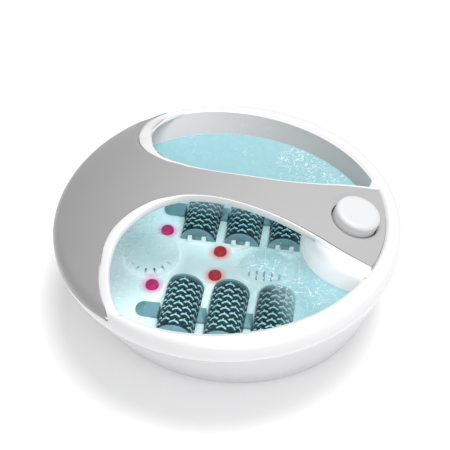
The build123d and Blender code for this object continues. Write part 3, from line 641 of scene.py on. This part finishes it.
def make_cover():
    """The toe hood and the bridge as one shell, with the knob's recess cut through it."""
    across = 30
    neck = [(NECK_X, BRIDGE_EDGE[0][1] * (1 - 2 * k / across)) for k in range(1, across)]
    inner = through(TOE_BACK, 90) + neck + [(x, -y) for x, y in reversed(through(TOE_FRONT, 90))]
    rows = (46, 8, 5)
    bm = grid_piece(len(inner) - 1, sum(rows), lambda i, j: hood_ring(i, j, inner, *rows))
    edge = through(BRIDGE_EDGE, 90)

    def bridge_point(i, j):
        x, y = edge[i]
        v = 1 - 2 * j / across
        y = y * v
        x = x + (end_x(y) - edge[-1][0]) * (i / 90) ** 3
        return Vector((x, y, crown_z(x, y)))

    other = grid_piece(90, across, bridge_point)
    mesh = take_mesh(other, "bridge_top")
    bm.from_mesh(mesh)
    bpy.data.meshes.remove(mesh)
    bmesh.ops.remove_doubles(bm, verts=list(bm.verts), dist=0.02)
    cover = make_piece(bm, "hood_and_bridge", "base", cover_grey, ["top_cover"], outward=top_faces_up)
    thick = cover.modifiers.new("wall", "SOLIDIFY")
    thick.thickness = COVER_WALL * MM
    thick.offset = -1
    apply_modifiers(cover)
    cut_recess(cover)
    soften(cover, 0.35, 40)


def top_faces_up(bm):
    return sum(f.normal.z * f.calc_area() for f in bm.faces) > 0


KNOB_RUN = KNOB_X - CROWN_X
KNOB_LEAN = atan(CROWN_FALL * KNOB_RUN / CROWN_BEND ** 2 / sqrt(1 + (KNOB_RUN / CROWN_BEND) ** 2))
KNOB_PLACE = Matrix.Translation(Vector((KNOB_X, 0, crown_z(KNOB_X, 0)))) @ Matrix.Rotation(KNOB_LEAN, 4, "Y")


def cut_recess(obj):
    """Cuts the knob's round recess through a closed piece."""
    bm = bmesh.new()
    bmesh.ops.create_cone(bm, cap_ends=True, segments=96, radius1=RECESS_RADIUS, radius2=RECESS_RADIUS,
                          depth=2 * RECESS_REACH)
    bmesh.ops.transform(bm, matrix=Matrix.Scale(MM, 4) @ KNOB_PLACE, verts=list(bm.verts))
    cut_away(obj, bm)


def cut_away(obj, bm):
    """Cuts a closed shape, given in metres, out of a closed piece."""
    mesh = take_mesh(bm, "cutter")
    cutter = new_object("cutter", mesh)
    cut = obj.modifiers.new("cut", "BOOLEAN")
    cut.operation = "DIFFERENCE"
    cut.solver = "EXACT"
    cut.object = cutter
    apply_modifiers(obj)
    bpy.data.objects.remove(cutter)
    bpy.data.meshes.remove(mesh)


def soften(obj, width, angle):
    """Rounds a piece's sharp edges a little and keeps the smooth faces smooth."""
    obj.data.shade_smooth()
    edge = obj.modifiers.new("edge", "BEVEL")
    edge.width = width * MM
    edge.segments = 2
    edge.limit_method = "ANGLE"
    edge.angle_limit = radians(angle)
    edge.harden_normals = False
    apply_modifiers(obj)
    obj.data.shade_smooth()
    obj.data.set_sharp_from_angle(angle=radians(angle))


make_cover()


# ---------------------------------------------------------------- the white deck frame round the openings

def make_lip(name, toe, edge, side, deep_from):
    """The white lip round one opening; its end at the toe hood runs down into the rim."""
    count = 240
    outer = through(LIP_TAIL + toe[1:] + BRIDGE_EDGE[1:], count)
    inner = through(edge, count)

    def place(i, j):
        ox, oy = outer[i]
        ix, iy = inner[i]
        wide = hypot(ix - ox, iy - oy)
        ux, uy = ((ix - ox) / wide, (iy - oy) / wide) if wide > 1e-6 else (0.0, -1.0)
        gap = min(0.35, wide * 0.2)
        flat = max(wide - gap, 0.3)
        deep = (3.2 + 2.6 * smooth_step(deep_from, deep_from + 60, i)) * (1 - 0.85 * smooth_step(186, 212, i))
        rows = [(gap, -3.4), (gap, -0.75), (gap + 0.12 * min(flat, 3), -0.42), (gap + flat * 0.35, -0.4),
                (gap + flat * 0.7, -0.4), (gap + flat - min(0.9, flat * 0.4), -0.42),
                (gap + flat - min(0.25, flat * 0.1), -0.85), (gap + flat + 0.4, -1.6),
                (gap + flat + 1.3, -1.7 - deep * 0.5),
                (gap + flat + 1.9, -1.5 - deep * 0.9), (gap + flat + 1.4, -1.8 - deep),
                (gap + flat - 0.8, -1.8 - deep), (gap + flat - 1.6, -1.4 - deep),
                (gap + flat - 1.9, -4.2), (gap - 4.0, -4.6)]
        out, dz = rows[j]
        x, y = ox + ux * out, oy + uy * out
        raised = smooth_step(-4, 62, i)
        return Vector((x, side * y, (crown_z(x, y) * raised + LIP_TAIL_HEIGHT * (1 - raised)) + dz))

    bm = grid_piece(count, 14, place)
    make_piece(bm, name, "base", white_gloss, sharp=50, outward=lip_faces_up)


def lip_faces_up(bm):
    total = 0.0
    for f in bm.faces:
        p = f.calc_center_median()
        if f.normal.z ** 2 > 0.8 and abs(crown_z(p.x, p.y) - 0.4 - p.z) < 0.1:
            total += f.normal.z
    return total > 0


def lip_distance(angle):
    """How far the lip's edge is from the pillar's axis in a direction."""
    edge = [(atan2(y, x - PILLAR_X), hypot(x - PILLAR_X, y)) for x, y in through(INNER_FRONT, 300)]
    edge = sorted(p for p in edge if p[0] > 1.4)
    for (a0, r0), (a1, r1) in zip(edge, edge[1:]):
        if a0 <= angle <= a1:
            return r0 + (r1 - r0) * (angle - a0) / (a1 - a0)
    return edge[0][1] if angle < edge[0][0] else 1000.0


def make_pillar_face():
    """The pillar's smooth face, from below the water up to the lip, closed under the bridge."""
    columns, rows = 72, 24
    strips = []
    for i in range(columns + 1):
        angle = 1.5 + (pi - 1.5) * i / columns
        ux, uy = cos(angle), sin(angle)
        edge = lip_distance(angle) + 0.4
        r = min(edge, 72.0)
        z = crown_z(PILLAR_X + ux * r, uy * r) - (2.0 if edge < 72 else min(2.0 + (edge - 72) * 2, 5.0))
        profile = [(77.6, 96), (77.45, 104), (76.3, 113), (74.8, 121), (73.0, 128),
                   (73.0 + (r - 73.0) * 0.5 + 0.6, 128 + (z - 128) * 0.58), (r, z)]
        strips.append([(PILLAR_X + ux * a, uy * a, b) for a, b in through(profile, rows)])
    bm = grid_piece(columns, rows, lambda i, j: Vector(strips[i][j]))
    add_mirror(bm)
    make_piece(bm, "pillar_face", "base", basin_white, sharp=60, outward=top_faces_up)


def make_wall_top():
    """The basin's wall carried on up behind the lip, under the toe hood."""
    heights = (124.0, 129.0, 134.0, 139.0, 143.0)
    bm = ring_piece([lambda a, z=z: Vector((*wall_oval(z, a, -0.2), z)) for z in heights])
    gone = []
    for f in bm.faces:
        p = f.calc_center_median()
        if p.x > -98 or p.z > crown_z(p.x, p.y) - 4.5:
            gone.append(f)
    bmesh.ops.delete(bm, geom=gone, context="FACES")
    make_piece(bm, "wall_behind_lip", "base", wall_white, outward=faces_inwards)


def faces_inwards(bm):
    total = 0.0
    for f in bm.faces:
        p = f.calc_center_median()
        total += (f.normal.x * p.x + f.normal.y * p.y) * f.calc_area()
    return total < 0


make_lip("lip_back", TOE_BACK, INNER_BACK, 1, 40)
make_lip("lip_front", TOE_FRONT, INNER_FRONT, -1, 10)
make_pillar_face()
make_wall_top()
smooth_copy("deck_frame", white_gloss,
            keep=lambda c, f: hypot(c.x - KNOB_X, c.y) < RECESS_RADIUS + 3 or (
                c.z < crown_z(c.x, c.y) - 4.2 and hypot(c.x - PILLAR_X, c.y) > 74
                and not (c.x < -66 and abs(c.y) > 60 and c.z > 118 and abs(f.normal.z) < 0.6)))
smooth_copy("lower_casing", casing_white)
smooth_copy("jet_dome", air_cap_white, inner=CAP_X)
smooth_copy("toe_cap", air_cap_white, inner=TOE_CAP_X)
for name in ("control_knob", "toe_lens_front", "toe_lens_back", "centre_lens_front",
             "centre_lens_back", "roller_tray_front", "roller_tray_back", "cord_gland", "rubber_feet"):
    slot = next(p["material_slot"] for p in frame["record"]["subparts"] if p["node"] == name)
    smooth_copy(name, FINISH[slot])


# ---------------------------------------------------------------- rollers

NUB_COLUMNS, NUB_PITCH, CORE_RADIUS, NUB_TOP = 12, 9.3, 18.0, 21.9


def flat_nub():
    """One nub laid flat: a crescent bar with a stem, raised from the plane z = 0."""
    bm = bmesh.new()
    bmesh.ops.create_grid(bm, x_segments=7, y_segments=1, size=0.5)
    bar = list(bm.faces)
    for v in bm.verts:
        bend = v.co.x * 2 * radians(76)
        reach = 4.3 + (1.05 if v.co.y > 0 else -1.05)
        v.co = Vector((reach * sin(bend) * 1.12, reach * cos(bend) * 0.9 - 3.3, 0))
    top = bmesh.ops.extrude_face_region(bm, geom=bar)["geom"]
    raised = [g for g in top if isinstance(g, bmesh.types.BMVert)]
    bmesh.ops.translate(bm, vec=Vector((0, 0, 1)), verts=raised)
    stem = bmesh.ops.create_cone(bm, cap_ends=True, segments=6, radius1=1.15, radius2=0.9, depth=1.0)
    stem = stem["verts"]
    bmesh.ops.scale(bm, vec=Vector((0.9, 1.8, 1)), verts=stem)
    bmesh.ops.translate(bm, vec=Vector((0, 2.6, 0.35)), verts=stem)
    return bm


def make_roller(side, number, x):
    """A core painted near-black as shade, with staggered rows of raised nubs round it."""
    name = f"roller_{side}_{number}"
    nub = flat_nub()
    for v in nub.verts:
        turn = v.co.x / 20.5
        r = CORE_RADIUS - 0.4 + max(v.co.z, 0) * (NUB_TOP - CORE_RADIUS + 0.4)
        v.co = Vector((r * sin(turn), v.co.y, r * cos(turn)))
    # Painted shade: each nub's top takes the teal, its sides the darker painted shade.
    for f in nub.faces:
        f.material_index = 1 if f.normal.z > 0.5 else 2
    pattern = take_mesh(nub, "nub")
    bm = bmesh.new()
    for column in range(NUB_COLUMNS):
        for row in range(8):
            along = -32.6 + NUB_PITCH * (row + (0.5 if column % 2 else 0.0))
            if along > 34.5:
                continue
            before = set(bm.verts)
            bm.from_mesh(pattern)
            new = [v for v in bm.verts if v not in before]
            turn = Matrix.Rotation(2 * pi * column / NUB_COLUMNS, 4, "Y")
            bmesh.ops.transform(bm, matrix=Matrix.Translation((0, along, 0)) @ turn, verts=new)
    bpy.data.meshes.remove(pattern)
    core = bmesh.ops.create_cone(bm, cap_ends=True, segments=48, radius1=CORE_RADIUS, radius2=CORE_RADIUS,
                                 depth=ROLLER_LENGTH)["verts"]
    bmesh.ops.rotate(bm, cent=Vector(), matrix=Matrix.Rotation(pi / 2, 3, "X"), verts=core)
    ends = {e for v in core for e in v.link_edges if abs(e.verts[0].co.y - e.verts[1].co.y) < 1}
    bmesh.ops.bevel(bm, geom=list(ends), affect="EDGES", offset=1.2, segments=2, profile=0.5, material=-1)
    across = -ROLLER_Y if side == "front" else ROLLER_Y
    bmesh.ops.translate(bm, vec=Vector((x, across, ROLLER_Z)), verts=list(bm.verts))
    make_piece(bm, name + "_skin", nodes[name]["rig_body"], [roller_core_shade, roller_teal, roller_shade], [name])


for side in ("front", "back"):
    for number, x in enumerate(ROLLER_XS, 1):
        make_roller(side, number, x)


# ---------------------------------------------------------------- floor nubs and water

def make_floor_nubs():
    """Small raised dots on the floor under the toes."""
    bm = bmesh.new()
    for i in range(9):
        for j in range(-12, 13):
            x, y = -146 + i * 9.5, (j + 0.5 * (i % 2)) * 9.5
            from_centre = hypot((x - 3) / (163 - 13), y / (152 - 13))
            if from_centre > 1 or hypot(x + 94, y) < 39 or hypot(x + 83, abs(y) - 46.6) < 13:
                continue
            if (x > -108 and 60 < abs(y) < 110) or (x > -72 and 30 < abs(y) < 122):
                continue
            dot = bmesh.ops.create_cone(bm, cap_ends=False, segments=10, radius1=2.0, radius2=1.5, depth=0.7)["verts"]
            top = bmesh.ops.create_circle(bm, cap_ends=True, cap_tris=True, segments=10, radius=1.5)["verts"]
            bmesh.ops.translate(bm, vec=Vector((0, 0, 0.35)), verts=top)
            bmesh.ops.translate(bm, vec=Vector((x, y, FLOOR_HEIGHT + 0.3)), verts=dot + top)
    make_piece(bm, "floor_nubs", "base", basin_white, sharp=60)


# Where the water is stirred: the place, how far it reaches and how strongly
BUBBLING = [((98, 130), 68, 1.9), ((20, 132), 60, 0.8), ((-70, 140), 50, 0.5), ((56, -46), 42, 1.9),
            ((104, -84), 46, 1.6), ((-108, -28), 60, 0.4)]


def water_group():
    """Masks for moving water: how deep the tint is, the foam with painted sparkle and painted glint streaks, and the
    ripples' height.
    """
    group, start, end = node_group(
        "moving_water", [("Fleck size", "NodeSocketFloat", 190.0)],
        [("Depth", "NodeSocketFloat"), ("Foam and glints", "NodeSocketFloat"), ("Ripples", "NodeSocketFloat")])
    tree, link = group.nodes, group.links.new
    where = tree.new("ShaderNodeTexCoord").outputs["Object"]
    split = tree.new("ShaderNodeSeparateXYZ")
    link(where, split.inputs[0])
    x, y = split.outputs["X"], split.outputs["Y"]
    back = math_node(group, "MULTIPLY_ADD", y, 9.0, -0.15, clamp=True)
    right = math_node(group, "MULTIPLY_ADD", x, 13.0, -0.95, clamp=True)
    broad = tree.new("ShaderNodeTexNoise")
    broad.inputs["Scale"].default_value = 22.0
    broad.inputs["Detail"].default_value = 3.0
    link(where, broad.inputs["Vector"])
    depth = math_node(group, "MAXIMUM", back, right)
    mottle = math_node(group, "MULTIPLY_ADD", broad.outputs["Fac"], 0.9, -0.45)
    stir = tree.new("ShaderNodeTexNoise")
    stir.inputs["Scale"].default_value = 60.0
    stir.inputs["Detail"].default_value = 4.0
    stir.inputs["Distortion"].default_value = 1.6
    link(where, stir.inputs["Vector"])
    link(stir.outputs["Fac"], end.inputs["Ripples"])
    # Painted highlights: thin bright streaks along the ripples.
    glint_lines = math_node(group, "ABSOLUTE", math_node(group, "SUBTRACT", stir.outputs["Fac"], 0.52))
    glint_lines = math_node(group, "MULTIPLY_ADD", glint_lines, -60.0, 1.0, clamp=True)
    # White flecks: partly foam bubbles, partly painted sparkle.
    dots = tree.new("ShaderNodeTexVoronoi")
    dots.feature = "F1"
    link(start.outputs[0], dots.inputs["Scale"])
    link(where, dots.inputs["Vector"])
    dots = math_node(group, "MULTIPLY_ADD", dots.outputs["Distance"], -4.5, 1.0, clamp=True)
    flat = tree.new("ShaderNodeVectorMath")
    flat.operation = "MULTIPLY"
    flat.inputs[1].default_value = (1, 1, 0)
    link(where, flat.inputs[0])
    lively = 0.0
    for centre, reach, most in BUBBLING:
        away = tree.new("ShaderNodeVectorMath")
        away.operation = "DISTANCE"
        away.inputs[1].default_value = (centre[0] * MM, centre[1] * MM, 0)
        link(flat.outputs[0], away.inputs[0])
        near = math_node(group, "MULTIPLY_ADD", away.outputs["Value"], -1 / (reach * MM), 1.0, clamp=True)
        lively = math_node(group, "MULTIPLY_ADD", near, most, lively)
    stirred = math_node(group, "MULTIPLY_ADD", lively, 0.4, math_node(group, "MULTIPLY", mottle, 0.35))
    link(math_node(group, "ADD", depth, stirred, clamp=True), end.inputs["Depth"])
    jets = math_node(group, "MULTIPLY_ADD", broad.outputs["Fac"], 4.0, -0.9, clamp=True)
    area = math_node(group, "MULTIPLY", lively, jets, clamp=True)
    white = math_node(group, "MULTIPLY", math_node(group, "ADD", glint_lines, dots, clamp=True), area)
    # The painted glint streaks also show faintly over all the water.
    link(math_node(group, "ADD", white, math_node(group, "MULTIPLY", glint_lines, 0.05), clamp=True), end.inputs["Foam and glints"])
    return group


def water_material():
    """Tinted clear water that lets the floor show, less so where it is deep, where it foams and where glints are
    painted on it.
    """
    material = bpy.data.materials.new("water")
    material.use_nodes = True
    tree, link = material.node_tree.nodes, material.node_tree.links.new
    surface = tree["Principled BSDF"]
    masks = tree.new("ShaderNodeGroup")
    masks.node_tree = water_group()
    tint = mix_colour(material.node_tree, masks.outputs["Depth"], (0.92, 0.985, 0.99), (0.66, 0.88, 0.91))
    colour = mix_colour(material.node_tree, masks.outputs["Foam and glints"], (0.52, 0.74, 0.79), (0.93, 0.98, 0.98))
    link(colour, surface.inputs["Base Color"])
    surface.inputs["Roughness"].default_value = 0.08
    surface.inputs["IOR"].default_value = 1.33
    relief = tree.new("ShaderNodeBump")
    relief.inputs["Strength"].default_value = 0.35
    relief.inputs["Distance"].default_value = 0.004
    link(masks.outputs["Ripples"], relief.inputs["Height"])
    link(relief.outputs["Normal"], surface.inputs["Normal"])
    clear = tree.new("ShaderNodeBsdfTransparent")
    link(tint, clear.inputs["Color"])
    opaque = math_node(material.node_tree, "MULTIPLY_ADD", masks.outputs["Depth"], 0.42, 0.015)
    opaque = math_node(material.node_tree, "MAXIMUM", opaque, masks.outputs["Foam and glints"], clamp=True)
    mix = tree.new("ShaderNodeMixShader")
    link(opaque, mix.inputs[0])
    link(clear.outputs[0], mix.inputs[1])
    link(surface.outputs[0], mix.inputs[2])
    link(mix.outputs[0], tree["Material Output"].inputs["Surface"])
    return material


def make_water():
    """The water's surface, a thin sheet from the basin's wall in to the pillar."""

    def section(share):
        def place(angle):
            x, y = wall_oval(WATER_HEIGHT, angle)
            return Vector((x * share + 8 * (1 - share), y * share, WATER_HEIGHT))
        return place

    bm = ring_piece([section(share) for share in (0.9995, 0.9, 0.8, 0.7, 0.6, 0.5, 0.4, 0.3, 0.2, 0.1)])
    hole = [e for e in bm.edges if e.is_boundary and max(hypot(v.co.x - 8, v.co.y) for v in e.verts) < 40]
    bmesh.ops.contextual_create(bm, geom=hole)
    water = make_piece(bm, "water", "base", water_material(), outward=top_faces_up)
    thick = water.modifiers.new("depth", "SOLIDIFY")
    thick.thickness = WATER_THICKNESS * MM
    thick.offset = -1
    apply_modifiers(water)
    pillar = bmesh.new()
    bmesh.ops.create_cone(pillar, cap_ends=True, segments=128, radius1=PILLAR_RADIUS, radius2=PILLAR_RADIUS,
                          depth=20)
    bmesh.ops.translate(pillar, vec=Vector((PILLAR_X, 0, WATER_HEIGHT)), verts=list(pillar.verts))
    bmesh.ops.scale(pillar, vec=Vector((MM, MM, MM)), verts=list(pillar.verts))
    cut_away(water, pillar)
    water.data.shade_smooth()
    water.data.set_sharp_from_angle(angle=radians(40))


make_floor_nubs()
make_water()


# ---------------------------------------------------------------- stage, light and camera

def make_stage():
    """A plain pale floor just under the feet."""
    bm = bmesh.new()
    bmesh.ops.create_grid(bm, x_segments=1, y_segments=1, size=6.0)
    mesh = take_mesh(bm, "studio_floor")
    floor = new_object("studio_floor", mesh)
    floor.location.z = -0.0002
    material = bpy.data.materials.new("studio_floor")
    material.use_nodes = True
    shader = material.node_tree.nodes["Principled BSDF"]
    shader.inputs["Base Color"].default_value = (0.93, 0.93, 0.93, 1)
    shader.inputs["Roughness"].default_value = 0.9
    shader.inputs["Emission Color"].default_value = (1, 1, 1, 1)
    shader.inputs["Emission Strength"].default_value = 0.14
    mesh.materials.append(material)


def area_light(name, place, aim, size, power):
    data = bpy.data.lights.new(name, "AREA")
    data.shape = "DISK"
    data.size = size
    data.energy = power
    lamp = new_object(name, data)
    lamp.location = place
    lamp.rotation_euler = (Vector(aim) - Vector(place)).to_track_quat("-Z", "Y").to_euler()


def make_lights():
    world = bpy.data.worlds.new("studio")
    bpy.context.scene.world = world
    world.use_nodes = True
    sky = world.node_tree.nodes["Background"]
    sky.inputs["Color"].default_value = (1, 1, 1, 1)
    sky.inputs["Strength"].default_value = 0.46
    area_light("key_softbox", (0.26, 0.1, 1.9), (0, 0, 0.1), 1.0, 27)
    area_light("front_softbox", (0.5, -1.4, 1.3), (0, 0, 0.1), 1.3, 9)


def make_camera():
    data = bpy.data.cameras.new("camera")
    data.lens = 85.33
    data.sensor_width = 36.0
    data.clip_start = 0.01
    camera = new_object("camera", data)
    camera.location = (0.13662, -0.87657, 0.96973)
    aim = Vector((-0.00363, 0.0, 0.11247))
    camera.rotation_euler = (aim - camera.location).to_track_quat("-Z", "Y").to_euler()
    bpy.context.scene.camera = camera
    bpy.context.scene.view_settings.view_transform = "Standard"


make_stage()
make_lights()
make_camera()
